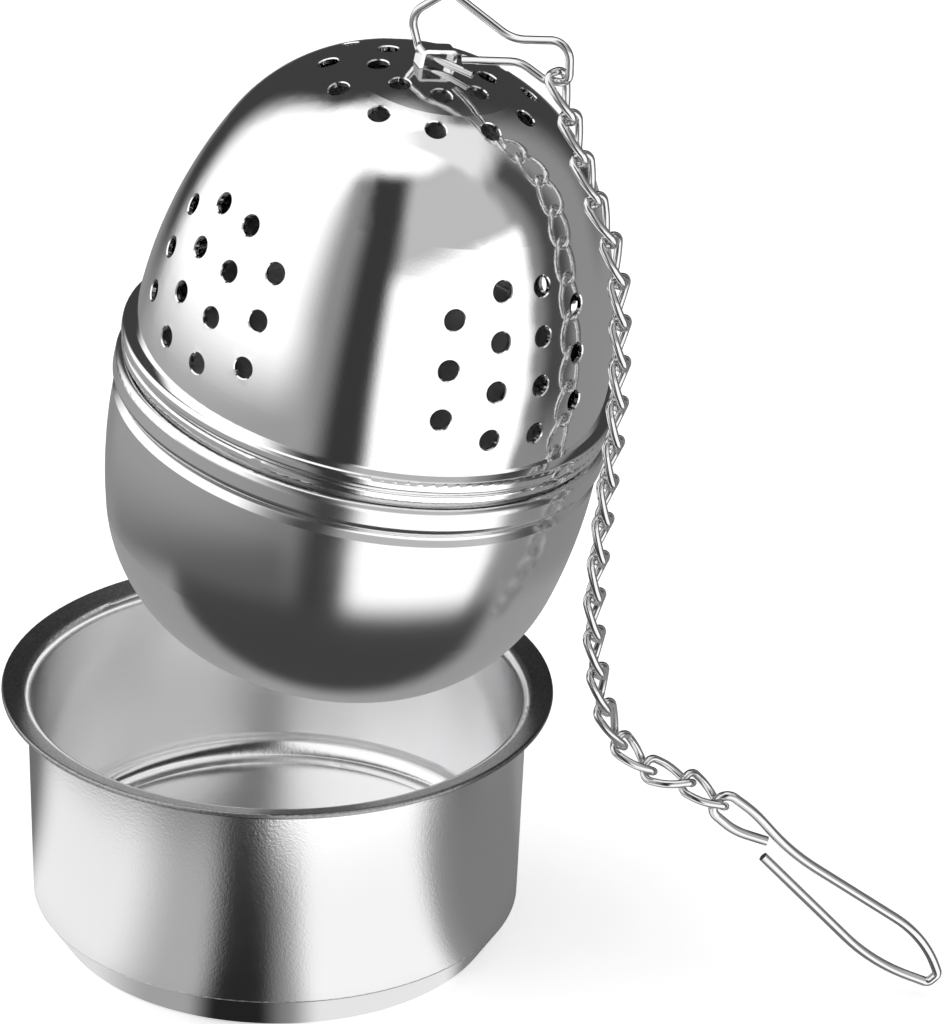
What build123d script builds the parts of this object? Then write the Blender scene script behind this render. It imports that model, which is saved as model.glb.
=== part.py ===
from build123d import *
from math import atan2, cos, degrees, radians, sin, sqrt, tan
import os

# Millimetres and degrees. The dish stands on z = 0 with its axis on Z, the front is -Y,
# and the chain hangs down on the +X side.

# Egg: a plain bowl below the seam, and a pierced dome above it
egg_radius = 24.0
egg_sheet = 0.5
seam_gap = 0.5
closing_fit = 0.08

dome_inset = 0.8
dome_height = 34.5
dome_crease = 2.9
dome_side_radius = 47.9
dome_side_turn = 26.6
dome_shoulder_turn = 71.0
bead_proud = 0.3
edge_proud = 0.05
edge_height = 0.85
edge_groove = 0.5
notch_radius = 1.1
notch_azimuth = -114.0

bowl_depth = 30.5
bowl_crease = 4.4
bowl_side_radius = 53.7
bowl_side_turn = 13.7
bowl_shoulder_turn = 75.5
band_proud = 0.4
band_height = 2.45
band_round = 0.8
band_groove = 0.6
neck_height = 4.0

# Holes of the dome: hexagonal clusters round the side, and two rings about the pole
hole_diameter = 2.0
hole_lead_in = 0.13
cluster_count = 4
cluster_azimuth = -53.7
column_step = 13.4
row_pitch = 4.85
first_row = 3.75
short_column_rise = 2.1
inner_ring_count = 8
inner_ring_reach = 5.4
inner_ring_turn = 10.3
outer_ring_count = 11
outer_ring_reach = 10.2
outer_ring_turn = 13.0

# Staple through the dome's pole
staple_width = 1.5
staple_sheet = 0.4
staple_span = 3.7
staple_rise = 1.9
staple_foot = 1.2
staple_turn = 22.0
staple_fit = 0.06

# Pear-shaped spring clip, bent from round wire
clip_wire = 0.8
clip_seat_gap = 0.28
clip_heading = -25.0
clip_length = 13.9
clip_eye_floor = 0.15
clip_eye_width = 4.3
clip_bow_width = 7.1
clip_lap = 3.9
clip_play = 0.12
chain_inset = 1.35

# Chain of twisted links
link_count = 20
link_wire = 0.78
link_pitch = 4.09
link_end_width = 1.2
link_half_width = 1.6
link_twist = 90.0
link_turn = -100.0
link_play = 0.1
drape_reach = 2.0
drape_front = 12.4

# Cup hook, bent from round wire
hook_wire = 0.95
hook_length = 29.6
hook_eye_length = 6.75
hook_eye_width = 2.6
hook_throat = 5.0
hook_heading = 50.0

# Drip dish: a drawn cup on a pressed base cap
dish_sheet = 0.5
dish_gap = 0.4
rim_height = 26.7
lip_width = 2.6
lip_rise = 0.7
lip_bend = 0.6
wall_draft = 0.5
crease_height = 4.1
crease_round = 0.15
floor_height = 6.0
floor_round = 2.4
base_inset = 2.7
base_round = 0.6

# The egg is lifted clear of the dish, and leans towards the chain
lift_gap = 3.0
egg_shift = 8.1
egg_lean = 10.2
egg_nod = 2.2

dome_radius = egg_radius - dome_inset
skirt_bore = dome_radius - egg_sheet
wall_radius = egg_radius + dish_gap + dish_sheet
rim_radius = wall_radius + lip_width
crease_radius = wall_radius - wall_draft
base_radius = crease_radius - base_inset
bead_radius = egg_radius + bead_proud
band_radius = egg_radius + band_proud
seam_height = rim_height + lift_gap + bowl_depth * cos(radians(egg_lean))


def half_egg(radius, height, side_radius, side_turn, shoulder_turn, start):
    """Three tangent arcs from the widest circle up to the pole, and the crown's radius."""
    c1, s1 = cos(radians(side_turn)), sin(radians(side_turn))
    c2, s2 = cos(radians(shoulder_turn)), sin(radians(shoulder_turn))
    reach = radius - side_radius * (1 - c1)
    climb = height - side_radius * s1
    spread = (c1 - c2) * (1 - s2) - c2 * (s2 - s1)
    shoulder_radius = (reach * (1 - s2) - climb * c2) / spread
    crown_radius = ((c1 - c2) * climb - (s2 - s1) * reach) / spread
    side = JernArc((radius, start), (0, 1), side_radius, side_turn)
    shoulder = JernArc(side @ 1, side % 1, shoulder_radius, shoulder_turn - side_turn)
    crown = JernArc(shoulder @ 1, shoulder % 1, crown_radius, 90 - shoulder_turn)
    return [side, shoulder, crown], crown_radius


def turned(outline):
    return revolve(Plane.XZ * make_face(outline), axis=Axis.Z)


def bent_wire(path, diameter):
    """Round wire along a path of straight runs and tangent arcs, one solid."""
    runs = [
        sweep(Plane(origin=run @ 0, z_dir=run % 0) * Circle(diameter / 2), path=run)
        for run in path.edges()
    ]
    return (Part() + runs).solid()


def between(knots, place):
    """A value read off straight lines between (place, value) knots."""
    for (a, low), (b, high) in zip(knots, knots[1:]):
        if place <= b:
            return low + (high - low) * (place - a) / (b - a)
    return knots[-1][1]


def dome_arcs(inset):
    height = dome_height - dome_crease - inset
    return half_egg(
        dome_radius - inset, height, dome_side_radius - inset,
        dome_side_turn, dome_shoulder_turn, dome_crease,
    )


def bowl_arcs(inset):
    depth = bowl_depth - bowl_crease - inset
    return half_egg(
        egg_radius - inset, depth, bowl_side_radius - inset,
        bowl_side_turn, bowl_shoulder_turn, bowl_crease,
    )


def strainer_dome():
    outer, _ = dome_arcs(0)
    inner, _ = dome_arcs(egg_sheet)
    bottom = seam_gap / 2
    groove = bottom + edge_height + edge_groove / 2
    edge_radius = egg_radius + edge_proud
    skirt = FilletPolyline(
        (skirt_bore, bottom),
        (edge_radius, bottom),
        (edge_radius, bottom + edge_height),
        (edge_radius - edge_groove, groove),
        (bead_radius, groove + edge_groove / 2),
        (bead_radius, dome_crease - edge_groove / 2),
        (dome_radius, dome_crease),
        radius=[0.3, 0.3, 0.05, 0.35, 0.45],
    )
    bore = Line((skirt_bore, bottom), (skirt_bore, dome_crease))
    pole = Line(outer[-1] @ 1, inner[-1] @ 1)
    dome = turned([skirt, *outer, pole, *inner, bore])
    dome -= dome_holes(outer)
    dome -= staple_slots()
    notch = Rot(Z=notch_azimuth) * Pos(X=egg_radius) * Rot(Y=90)
    return dome - notch * Cylinder(notch_radius, 1.2 * edge_groove)


def dome_holes(arcs):
    line = Wire(arcs)
    reach = hole_diameter / 2
    mouth = Pos(Z=-hole_lead_in) * Cone(
        reach, reach + 2 * hole_lead_in, 2 * hole_lead_in, align=(Align.CENTER, Align.CENTER, Align.MIN)
    )
    drill = Cylinder(reach, 6 * egg_sheet) + mouth
    places = []
    for cluster in range(cluster_count):
        for column in range(4):
            azimuth = cluster_azimuth + cluster * 360 / cluster_count + (column - 1.5) * column_step
            long = column in (1, 2)
            for row in range(4 if long else 3):
                places.append((first_row + row * row_pitch + (0 if long else short_column_rise), azimuth))
    rings = (
        (inner_ring_count, inner_ring_reach, inner_ring_turn),
        (outer_ring_count, outer_ring_reach, outer_ring_turn),
    )
    for count, reach_from_pole, turn in rings:
        for k in range(count):
            places.append((line.length - reach_from_pole, turn + k * 360 / count))
    drills = []
    for along, azimuth in places:
        spot = line.position_at(along, position_mode=PositionMode.LENGTH)
        way = line.tangent_at(along, position_mode=PositionMode.LENGTH)
        face = Plane(origin=(spot.X, 0, spot.Y), z_dir=(way.Y, 0, -way.X))
        drills.append(Rot(Z=azimuth) * face.location * drill)
    return drills


def staple_slots():
    slot = Box(staple_sheet + 2 * staple_fit, staple_width + 2 * staple_fit, 6 * egg_sheet)
    leg = (staple_span - staple_sheet) / 2
    return [
        Pos(Z=dome_height) * Rot(Z=staple_turn) * Pos(X=side * leg) * slot
        for side in (-1, 1)
    ]


def top_staple():
    _, crown_radius = dome_arcs(egg_sheet)
    leg = (staple_span - staple_sheet) / 2
    toe = leg + staple_foot
    under = dome_height - egg_sheet - staple_fit - staple_sheet / 2
    heel_drop = crown_radius - sqrt(crown_radius**2 - (leg + staple_sheet) ** 2)
    toe_drop = crown_radius - sqrt(crown_radius**2 - (toe + staple_sheet) ** 2)
    top = dome_height + staple_rise - staple_sheet / 2
    centre_line = FilletPolyline(
        (-toe, under - toe_drop),
        (-leg, under - heel_drop),
        (-leg, top),
        (leg, top),
        (leg, under - heel_drop),
        (toe, under - toe_drop),
        radius=[staple_sheet * 0.6, staple_sheet, staple_sheet, staple_sheet * 0.6],
    )
    strap = Plane.XZ * trace(centre_line, staple_sheet)
    return Rot(Z=staple_turn) * extrude(strap, amount=staple_width / 2, both=True)


def strainer_bowl():
    outer, _ = bowl_arcs(0)
    inner, _ = bowl_arcs(egg_sheet)
    top = seam_gap / 2
    neck = skirt_bore - closing_fit
    groove = (top + band_height + bowl_crease) / 2
    rim = FilletPolyline(
        (neck - egg_sheet, -neck_height),
        (neck, -neck_height),
        (neck, top),
        (band_radius, top),
        (band_radius, top + band_height),
        (egg_radius - band_groove, groove),
        (egg_radius, bowl_crease),
        radius=[0.2, 0.1, band_round, band_round, band_groove * 0.7],
    )
    inside = FilletPolyline(
        (neck - egg_sheet, -neck_height),
        (neck - egg_sheet, groove),
        (egg_radius - egg_sheet, bowl_crease),
        radius=0.5,
    )
    pole = Line(outer[-1] @ 1, inner[-1] @ 1)
    return Rot(X=180) * turned([rim, *outer, pole, *inner, inside])


def clip_frame():
    """The clip's own plane: x runs along the clip, y is up, and z is across it."""
    seat = egg_place * Pos(Z=dome_height + clip_seat_gap + clip_wire / 2)
    along = Vector(cos(radians(clip_heading)), sin(radians(clip_heading)), 0)
    return Plane(origin=seat.position, x_dir=along, z_dir=along.cross(Vector(0, 0, 1)))


def spring_clip():
    eye_top = clip_eye_floor + clip_eye_width
    path = FilletPolyline(
        (2.9, 0.4),
        (clip_length - 5.1, clip_eye_floor + 1.2),
        (clip_length - 2.6, clip_eye_floor - 0.1),
        (clip_length, clip_eye_floor),
        (clip_length, eye_top),
        (clip_length - 6.0, eye_top - 1.0),
        (1.3, clip_bow_width),
        (-2.75, clip_bow_width - 3.1),
        (-1.75, 0.42),
        (clip_lap, -0.24 * clip_lap),
        radius=[3.0, 1.2, 1.0, 1.7, 4.0, 1.6, 2.2, 1.0],
    )
    return clip_frame().location * bent_wire(path, clip_wire)


def link_frames():
    """Each link's plane: the origin at its middle, z up the chain, y to the back."""
    frame = clip_frame()
    bite = clip_wire / 2 + clip_play
    rise = clip_eye_floor + bite + (link_wire - link_play) / 2
    start = frame.from_local_coords((clip_length - chain_inset, rise, 0))
    start = start - Vector(0, 0, link_wire / 2)
    side = band_radius + drape_reach
    side_x = egg_shift + sqrt(side**2 - drape_front**2)
    fall = start.Z - seam_height
    lean = degrees(atan2(side_x - start.X, fall))
    sway = degrees(atan2(drape_front + start.Y, fall))
    leans = ((1, 1.7 * lean + 4), (2, 2 * lean), (4, 2.5 * lean), (6, 0.4 * lean), (10, -5.5), (13, -3.5),
             (16, 11), (17, 24), (18, 46), (19, 71), (20, 54))
    sways = ((1, 1.7 * sway), (3, 2.0 * sway), (5, 0.8 * sway), (9, 0.2 * sway), (12, 0), (20, 0))
    frames = []
    for k in range(1, link_count + 1):
        place = 1 + (k - 1) * 19 / (link_count - 1)
        down = Vector(tan(radians(between(leans, place))), -tan(radians(between(sways, place))), -1)
        down = down.normalized()
        middle = start + down * (link_pitch / 2)
        frames.append(Plane(origin=middle, x_dir=Vector(0, 1, 0).cross(-down), z_dir=-down))
        start = start + down * link_pitch
    return frames


def link_end_half():
    return (link_pitch + link_wire + link_play) / 2


def chain_link():
    half = link_end_half()
    top, bottom = link_turn - link_twist / 2, link_turn + link_twist / 2

    def corner(azimuth, height):
        turn = radians(azimuth)
        width = link_end_width if height else link_half_width
        return width * cos(turn), width * sin(turn), height

    ends, middle = 0.84 * link_end_width, 2.5 * link_half_width
    path = FilletPolyline(
        corner(top, half),
        corner(link_turn, 0),
        corner(bottom, -half),
        corner(bottom + 180, -half),
        corner(link_turn + 180, 0),
        corner(top + 180, half),
        radius=[ends, middle, ends, ends, middle, ends],
        close=True,
    )
    return bent_wire(path, link_wire)


def hook_frame():
    """The hook's own plane: x runs from the eye to the bend, y is the upper side."""
    last = link_frames()[-1]
    apex = last.from_local_coords((0, 0, -link_end_half()))
    along = Vector(sin(radians(hook_heading)), 0, -cos(radians(hook_heading)))
    eye_end = apex - along * (link_wire / 2 + link_play + hook_wire / 2)
    return Plane(origin=eye_end, x_dir=along, z_dir=(0, -1, 0))


def cup_hook():
    eye = hook_eye_width / 2
    path = FilletPolyline(
        (hook_eye_length, -0.05),
        (hook_eye_length - 3.2, -eye - 0.05),
        (0, -eye + 0.05),
        (0, eye + 0.05),
        (3.6, eye + 0.2),
        (9.4, 0.55),
        (25.6, hook_throat / 2 - 0.1),
        (hook_length, 0.15),
        (hook_length - 0.1, -1.25),
        (23.8, -hook_throat / 2 - 0.75),
        (7.6, -1.6),
        radius=[6.0, 1.2, 1.2, 12.0, 22.0, 11.0, 0.65, 0.65, 18.0],
    )
    return hook_frame().location * bent_wire(path, hook_wire)


def drip_cup():
    tilt = atan2(lip_rise, lip_width)
    lip_thick = dish_sheet / cos(tilt)
    root = rim_height - lip_rise - lip_thick
    under = floor_height - dish_sheet
    inner_radius = crease_radius - dish_sheet
    outline = FilletPolyline(
        (0, under),
        (inner_radius, under),
        (inner_radius, crease_height),
        (crease_radius, crease_height),
        (wall_radius, root),
        (rim_radius, root + lip_rise),
        (rim_radius - dish_sheet * sin(tilt), rim_height),
        (wall_radius - dish_sheet, root + lip_thick - dish_sheet * tan(tilt)),
        (inner_radius, floor_height),
        (0, floor_height),
        radius=[0.3, 0.05, crease_round, lip_bend, 0.2, 0.2, lip_bend + dish_sheet, floor_round],
    )
    return turned([outline, Line((0, floor_height), (0, under))])


def base_cap():
    slope = atan2(crease_height, crease_radius - base_radius)
    run = dish_sheet / sin(slope)
    outside = FilletPolyline(
        (0, 0),
        (base_radius, 0),
        (crease_radius, crease_height),
        radius=base_round + dish_sheet,
    )
    inside = FilletPolyline(
        (crease_radius - run, crease_height),
        (base_radius - dish_sheet * tan(slope / 2), dish_sheet),
        (0, dish_sheet),
        radius=base_round,
    )
    top = Line(outside @ 1, inside @ 0)
    return turned([outside, top, inside, Line(inside @ 1, outside @ 0)])


egg_place = Pos(egg_shift, 0, seam_height) * Rot(0, egg_lean, 0) * Rot(egg_nod, 0, 0)

pieces = {
    "drip_dish": drip_cup(),
    "dish_base": base_cap(),
    "strainer_bowl": egg_place * strainer_bowl(),
    "strainer_dome": egg_place * strainer_dome(),
    "top_staple": egg_place * top_staple(),
    "spring_clip": spring_clip(),
    "cup_hook": cup_hook(),
}
link = chain_link()
for number, frame in enumerate(link_frames(), 1):
    pieces[f"chain_link_{number:02d}"] = frame.location * link

os.makedirs("parts", exist_ok=True)
for name, piece in pieces.items():
    export_step(piece, f"parts/{name}.step")
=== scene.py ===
import bpy
from math import cos, degrees, radians, sin
from mathutils import Matrix, Vector

mm = 0.001


# Shader maths: a socket that adds Math nodes when it is used in an expression

class Wire:
    def __init__(self, tree, socket):
        self.tree, self.socket = tree, socket

    def maths(self, operation, *others, clamp=False):
        node = self.tree.nodes.new("ShaderNodeMath")
        node.operation, node.use_clamp = operation, clamp
        for slot, value in zip(node.inputs, (self, *others)):
            feed(self.tree, slot, value)
        return Wire(self.tree, node.outputs[0])

    def __add__(self, other): return self.maths("ADD", other)
    def __radd__(self, other): return self.maths("ADD", other)
    def __sub__(self, other): return self.maths("SUBTRACT", other)
    def __rsub__(self, other): return (self * -1) + other
    def __mul__(self, other): return self.maths("MULTIPLY", other)
    def __rmul__(self, other): return self.maths("MULTIPLY", other)


class Shader:
    def __init__(self, owner):
        owner.use_nodes = True
        self.tree = owner.node_tree
        self.tree.nodes.clear()

    def add(self, kind, settings=None, out=0, **values):
        # values go to sockets by name, with _ for a space, or by number as n0, n1, n2
        node = self.tree.nodes.new(kind)
        for name, value in (settings or {}).items():
            setattr(node, name, value)
        for name, value in values.items():
            numbered = name[0] == "n" and name[1:].isdigit()
            slot = node.inputs[int(name[1:]) if numbered else name.replace("_", " ")]
            feed(self.tree, slot, value)
        return Wire(self.tree, node.outputs[out]) if node.outputs else node

    def several(self, kind, *names, **values):
        # one node, and more than one of its outputs
        node = self.add(kind, **values).socket.node
        return [Wire(self.tree, node.outputs[name]) for name in names]


def feed(tree, slot, value):
    if isinstance(value, Wire):
        tree.links.new(value.socket, slot)
    else:
        slot.default_value = value


def smooth(t):
    return t * t * (3 - t * 2)


def above(value, edge, soft):
    # 0 below the edge and 1 above it, over a soft width
    return smooth((value - (edge - soft / 2)).maths("DIVIDE", soft, clamp=True))


def between(value, low, high, soft):
    # 1 inside low..high, with soft edges of that width
    rise = (value - (low - soft / 2)).maths("DIVIDE", soft, clamp=True)
    fall = ((high + soft / 2) - value).maths("DIVIDE", soft, clamp=True)
    return smooth(rise) * smooth(fall)


def over(below, mask, level):
    # lays a level over what is below, where the mask is 1
    return below * (1 - mask) + mask * level


def turnOf(x, y):
    return x.maths("ARCTAN2", y * -1) * degrees(1)    # round from the front, in degrees


def reachOf(x, y):
    return (x * x + y * y).maths("SQRT")


print("loading the frame")
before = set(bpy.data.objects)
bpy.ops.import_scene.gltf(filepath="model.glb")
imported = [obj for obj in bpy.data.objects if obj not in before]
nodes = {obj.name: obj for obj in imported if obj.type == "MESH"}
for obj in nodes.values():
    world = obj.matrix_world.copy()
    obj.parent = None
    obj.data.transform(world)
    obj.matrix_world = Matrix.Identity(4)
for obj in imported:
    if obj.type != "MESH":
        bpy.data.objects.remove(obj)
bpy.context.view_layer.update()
bpy.ops.object.select_all(action="DESELECT")


# Camera

view = {
    "target": Vector((18.84, 0, 46.08)) * mm,
    "distance": 600 * mm,
    "elevation": 25.96,
    "roll": 1.52,
    "lens": 214.84,
    "sensor": 36,
    "near": 0.01,
}


def placeCamera():
    tilt, roll = radians(view["elevation"]), radians(view["roll"])
    away = Vector((0, -cos(tilt), sin(tilt)))
    right = Vector((cos(roll), 0, 0)) + Vector((0, sin(tilt), cos(tilt))) * sin(roll)
    up = away.cross(right)
    facing = Matrix((right, up, away)).transposed().to_4x4()
    camera = bpy.data.objects.new("camera", bpy.data.cameras.new("camera"))
    camera.data.lens, camera.data.sensor_width = view["lens"], view["sensor"]
    camera.data.clip_start = view["near"]
    camera.matrix_world = Matrix.Translation(view["target"] + away * view["distance"]) @ facing
    bpy.context.scene.collection.objects.link(camera)
    bpy.context.scene.camera = camera


# Studio: soft boxes and dark cards, as levels of light by direction.
# turn is degrees round from the front, positive towards the chain's side; climb is degrees up.
# soft is how wide a card's edges are, in turn and in climb. A later card lies over an earlier one.

studio = {
    "room": 0.28,
    "top": {"climb": 62, "soft": 14, "level": 1.2},
    "cards": (
        {"turn": (86, 107), "climb": (-30, 47), "soft": (14, 14), "level": 0.07},    # right card
        {"turn": (4, 74), "climb": (17, 62), "soft": (12, 12), "level": 0.55},       # right box's grey top
        {"turn": (72, 132), "climb": (47, 82), "soft": (12, 14), "level": 0.85},     # strip above the card
        {"turn": (-2, 77), "climb": (-57, 17), "soft": (9, 9), "level": 1.35},       # right box
        {"turn": (-146, -29), "climb": (-32, 4), "soft": (12, 12), "level": 0.36},   # under the left box
        {"turn": (-146, -29), "climb": (-70, -27), "soft": (12, 14), "level": 0.12},
        {"turn": (-146, -38), "climb": (-7, 110), "soft": (24, 24), "level": 1.3},   # left box
    ),
    "under": (
        {"climb": -56, "soft": 8, "level": 0.075},    # dark below, and paler straight down
        {"climb": -68, "soft": 26, "level": 0.42},
    ),
    # the hood stands behind the object on both sides, so its turn has no sign
    "hood": {"turn": (138, 230), "climb": (-14, 58), "soft": (26, 10), "level": 0.05},
    # the flag is a slanting strip; its turn is measured from its own middle
    "flag": {"middle": -9.5, "slant": 0.1, "turn": (-10, 10), "climb": (-58, 65),
             "soft": (12, 12), "level": 0.04},
}


def layLight(level, turn, climb, card):
    softTurn, softClimb = card["soft"]
    mask = between(turn, *card["turn"], softTurn) * between(climb, *card["climb"], softClimb)
    return over(level, mask, card["level"])


def lightWorld():
    world = bpy.data.worlds.new("studio")
    bpy.context.scene.world = world
    s = Shader(world)
    direction = s.add("ShaderNodeTexCoord", out="Generated")
    x, y, z = s.several("ShaderNodeSeparateXYZ", "X", "Y", "Z", Vector=direction)
    turn, climb = turnOf(x, y), z.maths("ARCSINE") * degrees(1)
    top, flag = studio["top"], studio["flag"]
    level = over(studio["room"], above(climb, top["climb"], top["soft"]), top["level"])
    for card in studio["cards"]:
        level = layLight(level, turn, climb, card)
    for low in studio["under"]:
        level = over(level, 1 - above(climb, low["climb"], low["soft"]), low["level"])
    level = layLight(level, turn.maths("ABSOLUTE"), climb, studio["hood"])
    aside = (turn - flag["middle"] - climb * flag["slant"]) * reachOf(x, y)
    level = layLight(level, aside, climb, flag)
    cameraRay = s.add("ShaderNodeLightPath", out="Is Camera Ray")
    level = over(level, cameraRay, 1.0)    # the camera sees white
    tint = s.add("ShaderNodeCombineColor", Red=level, Green=level, Blue=level)
    s.add("ShaderNodeOutputWorld", Surface=s.add("ShaderNodeBackground", Color=tint))


# Floor: white to the camera, with the object's shadow. In the metal it shows as a sheet with pale and dark
# strips by turn, which ends a little way out from the dish and carries a painted shadow, darker round the
# base of the dish.

floor = {
    "size": 4.0,
    "drop": 0.02 * mm,
    "white": 0.93,
    "lift": 0.55,
    "grain": {"size": 900.0, "seen": 0.004, "mirrored": 0.02},
    "sheet": {"reach": 62 * mm, "soft": 14 * mm},
    "far": {"length": 54 * mm, "soft": 10 * mm},    # from the metal to the sheet
    # painted shadow: the reflected sheet is darker round the base of the dish
    "footShadow": {"reach": 28 * mm, "soft": 8 * mm, "level": 0.85},
    "room": 0.3,
    "strips": (
        {"turn": (-175, -108), "soft": 20, "level": 0.16},
        {"turn": (66, 120), "soft": 14, "level": 0.22},
        {"turn": (-56, -16), "soft": 16, "level": 0.46},
        {"turn": (-106, -44), "soft": 24, "level": 0.95},
        {"turn": (-2, 12), "soft": 6, "level": 0.3},
        {"turn": (10, 58), "soft": 10, "level": 1.05},
        {"turn": (-18, 2), "soft": 9, "level": 0.02},
    ),
}


def layFloor():
    bpy.ops.mesh.primitive_plane_add(size=floor["size"], location=(0, 0, -floor["drop"]))
    plane = bpy.context.active_object
    plane.name = "floor"
    material = bpy.data.materials.new("floor")
    s = Shader(material)
    place = s.add("ShaderNodeTexCoord", out="Object")
    x, y = s.several("ShaderNodeSeparateXYZ", "X", "Y", Vector=place)
    turn, reach = turnOf(x, y), reachOf(x, y)
    cameraRay, glossyRay, rayLength = s.several(
        "ShaderNodeLightPath", "Is Camera Ray", "Is Glossy Ray", "Ray Length")
    sheet, far, footShadow, grain = floor["sheet"], floor["far"], floor["footShadow"], floor["grain"]
    speck = s.add("ShaderNodeTexNoise", Scale=grain["size"])
    white = s.add("ShaderNodeBsdfDiffuse", Color=(floor["white"],) * 3 + (1,))
    glow = s.add("ShaderNodeEmission", Color=(1, 1, 1, 1),
                 Strength=cameraRay * floor["lift"] + speck * grain["seen"])
    seen = s.add("ShaderNodeAddShader", n0=white, n1=glow)
    level = speck * grain["mirrored"] + floor["room"]
    for strip in floor["strips"]:
        level = over(level, between(turn, *strip["turn"], strip["soft"]), strip["level"])
    # painted shadow round the base of the dish, laid into the sheet that the metal reflects
    level = level * over(footShadow["level"], above(reach, footShadow["reach"], footShadow["soft"]), 1.0)
    outside = above(reach, sheet["reach"], sheet["soft"])
    clear = outside.maths("MAXIMUM", above(rayLength, far["length"], far["soft"]))
    mirrored = s.add("ShaderNodeMixShader", n0=clear, n1=s.add("ShaderNodeEmission", Strength=level),
                     n2=s.add("ShaderNodeBsdfTransparent"))
    s.add("ShaderNodeOutputMaterial",
          Surface=s.add("ShaderNodeMixShader", n0=glossyRay, n1=seen, n2=mirrored))
    plane.data.materials.append(material)


# Card: lies between the egg and the dish, and only reflections show it. Its top is dark in front and
# pale at the back; its underside is a soft light with a dark strip, which fills the dish.

card = {
    "height": 27.9 * mm,
    "radius": 48 * mm,
    "sides": 96,
    "top": {"dark": 0.06, "pale": 0.36, "paleFrom": -15 * mm, "soft": 6 * mm,
            "reach": 40 * mm, "fade": 9 * mm},
    "under": {"left": 1.1, "right": 0.75, "rightFrom": 4 * mm, "soft": 6 * mm,
              "strip": (-1 * mm, 8 * mm), "stripSoft": 2.5 * mm, "dark": 0.02,
              "reach": 23.8 * mm, "clear": 5.5 * mm, "fade": 1 * mm},
}


def layCard():
    bpy.ops.mesh.primitive_circle_add(vertices=card["sides"], radius=card["radius"],
                                      fill_type="NGON", location=(0, 0, card["height"]))
    disc = bpy.context.active_object
    disc.name = "reflection_card"
    material = bpy.data.materials.new("reflection_card")
    s = Shader(material)
    place = s.add("ShaderNodeTexCoord", out="Object")
    x, y = s.several("ShaderNodeSeparateXYZ", "X", "Y", Vector=place)
    reach = reachOf(x, y)
    glossyRay, rayLength = s.several("ShaderNodeLightPath", "Is Glossy Ray", "Ray Length")
    below = s.add("ShaderNodeNewGeometry", out="Backfacing")
    top, under = card["top"], card["under"]
    topLevel = above(y, top["paleFrom"], top["soft"]) * (top["pale"] - top["dark"]) + top["dark"]
    towardsRight = above(x, under["rightFrom"], under["soft"])
    underLevel = under["left"] - towardsRight * (under["left"] - under["right"])
    underLevel = over(underLevel, between(x, *under["strip"], under["stripSoft"]), under["dark"])
    topCover = 1 - above(reach, top["reach"], top["fade"])
    underCover = 1 - above(reach, under["reach"], under["fade"])
    underCover = underCover * above(rayLength, under["clear"], under["fade"])
    shown = glossyRay * over(topCover, below, underCover)
    sheet = s.add("ShaderNodeEmission", Strength=over(topLevel, below, underLevel))
    clear = s.add("ShaderNodeBsdfTransparent")
    s.add("ShaderNodeOutputMaterial",
          Surface=s.add("ShaderNodeMixShader", n0=shown, n1=clear, n2=sheet))
    disc.data.materials.append(material)


# Metals. wave is a slow unevenness of the sheet and waveSize how close it is; haze is how much the
# gloss varies with it; grain is the depth of the fine specks.

polished = {
    "colour": 0.9, "roughness": 0.075, "wave": 0.02, "waveSize": 95.0, "haze": 0.05, "grain": 0.01,
}
satin = {
    "colour": 0.84, "roughness": 0.18, "wave": 0.02, "waveSize": 120.0, "haze": 0.05, "grain": 0.006,
}
bright = {
    "colour": 0.88, "roughness": 0.12, "wave": 0.0, "waveSize": 300.0, "haze": 0.08, "grain": 0.0,
}
wireMetal = {
    "colour": 0.72, "roughness": 0.09, "wave": 0.0, "waveSize": 300.0, "haze": 0.06, "grain": 0.0,
}
drawn = {
    "colour": 0.88, "roughness": 0.2, "wave": 0.01, "waveSize": 140.0, "haze": 0.05, "grain": 0.08,
    "taper": 0.0205,    # how much the dish widens with its height
    # inside: its paler colour is painted light, making the inside of the dish brighter where the egg keeps
    # light off; its wall and floor roughness are the finish
    "inside": {"colour": 0.92, "wall": 0.24, "floor": 0.13, "wallFrom": 7.5 * mm, "wallSoft": 2 * mm,
               "haze": 0.02, "grain": 0.3, "radius": 24.25 * mm, "low": 5.2 * mm},
    # lip: its dark colour is a painted reflection, a dark band laid on the top of the lip
    "lip": {"colour": 0.33, "roughness": 0.3, "speck": 0.4, "radius": 24.8 * mm, "low": 25.4 * mm},
    "edge": {"radius": 0.25 * mm, "height": 0.3 * mm, "lip": 0.3 * mm},
}
texture = {
    "waveDetail": 3.0, "grainDetail": 2.0, "speckSize": 3800.0, "fineSize": 8000.0, "fineShare": 0.6,
    "speckInGloss": 0.05, "waveInColour": 0.03, "blue": 1.005, "bump": 0.5, "bumpDepth": 0.3 * mm,
}


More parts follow.
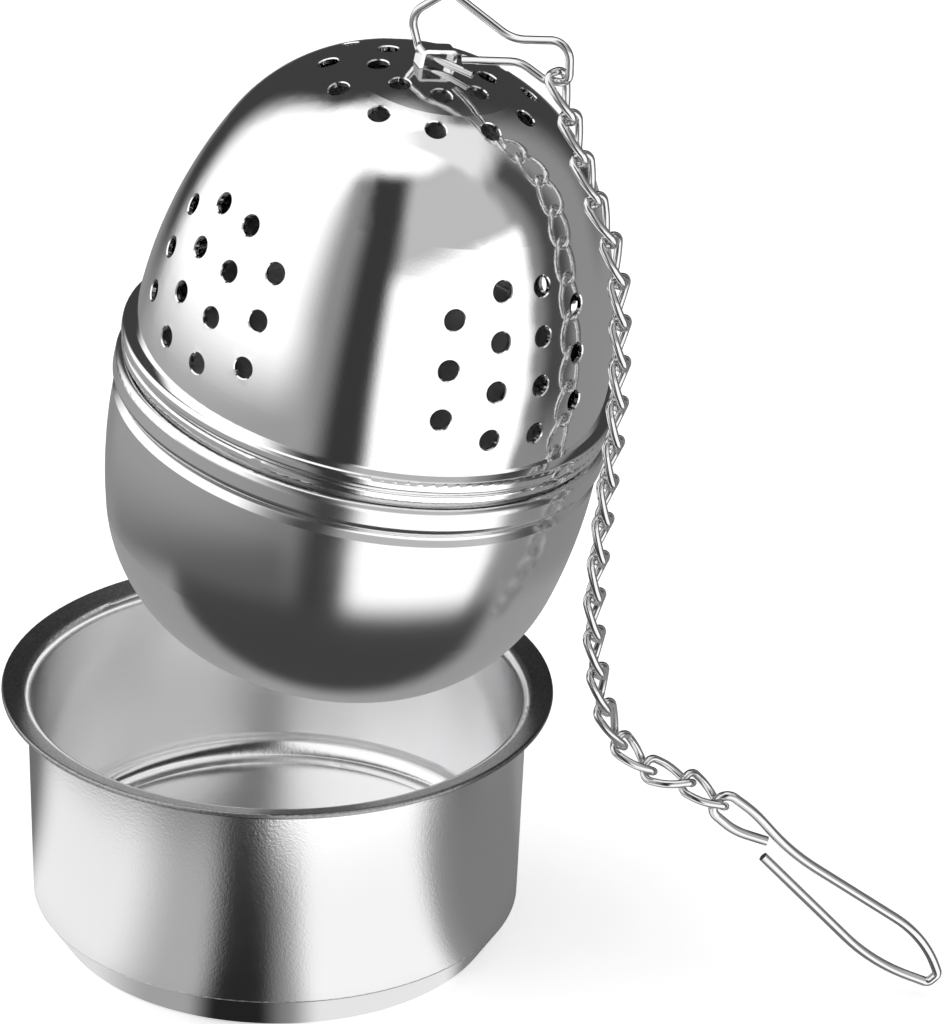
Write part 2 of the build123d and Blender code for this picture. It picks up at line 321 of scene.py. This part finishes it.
def steel(name, look):
    material = bpy.data.materials.new(name)
    s = Shader(material)
    place = s.add("ShaderNodeTexCoord", out="Object")
    cloud, speck, fine = (
        s.add("ShaderNodeTexNoise", Vector=place, Scale=size, Detail=detail)
        for size, detail in ((look["waveSize"], texture["waveDetail"]),
                             (texture["speckSize"], texture["grainDetail"]),
                             (texture["fineSize"], texture["grainDetail"])))
    rough = look["roughness"] + (cloud - 0.5) * look["haze"]
    rough = rough + (speck - 0.5) * texture["speckInGloss"]
    pale = look["colour"] + (cloud - 0.5) * texture["waveInColour"]
    grain = look["grain"]
    if "inside" in look:
        inside, lip, edge = look["inside"], look["lip"], look["edge"]
        x, y, z = s.several("ShaderNodeSeparateXYZ", "X", "Y", "Z", Vector=place)
        reach = reachOf(x, y) - z * look["taper"]
        within = 1 - above(reach, inside["radius"], edge["radius"])
        within = within * above(z, inside["low"], edge["height"])
        onWall = above(z, inside["wallFrom"], inside["wallSoft"])
        insideRough = inside["floor"] + onWall * (inside["wall"] - inside["floor"])
        rough = over(rough, within, insideRough + (cloud - 0.5) * inside["haze"])
        # painted light: the inside of the dish gets a paler colour than the outside
        pale = over(pale, within, inside["colour"])
        onLip = above(reach, lip["radius"], edge["lip"]) * above(z, lip["low"], edge["height"])
        rough = over(rough, onLip, lip["roughness"])
        # painted reflection: the top of the lip is darkened
        pale = over(pale, onLip, lip["colour"] + (speck - 0.5) * lip["speck"])
        grain = over(grain, within, grain * inside["grain"])
    height = cloud * look["wave"] + speck * grain + fine * grain * texture["fineShare"]
    bump = s.add("ShaderNodeBump", Strength=texture["bump"], Distance=texture["bumpDepth"],
                 Height=height)
    tint = s.add("ShaderNodeCombineColor", Red=pale, Green=pale, Blue=pale * texture["blue"])
    metal = s.add("ShaderNodeBsdfPrincipled", Base_Color=tint, Metallic=1.0, Roughness=rough,
                  Normal=bump)
    s.add("ShaderNodeOutputMaterial", Surface=metal)
    return material


def dress(name, material):
    slots = nodes[name].data.materials
    slots.clear()
    slots.append(material)


print("camera, studio and floor")
placeCamera()
lightWorld()
layFloor()
layCard()

print("metals")
finishes = {
    "drip_dish": steel("drawn_dish", drawn),
    "dish_base": steel("pressed_base", drawn),
    "strainer_bowl": steel("satin_bowl", satin),
    "strainer_dome": steel("polished_dome", polished),
    "top_staple": steel("bright_strip", bright),
}
wire = steel("bright_wire", wireMetal)
for name in nodes:
    dress(name, finishes.get(name, wire))

bpy.context.scene.view_settings.view_transform = "Standard"

print("done")
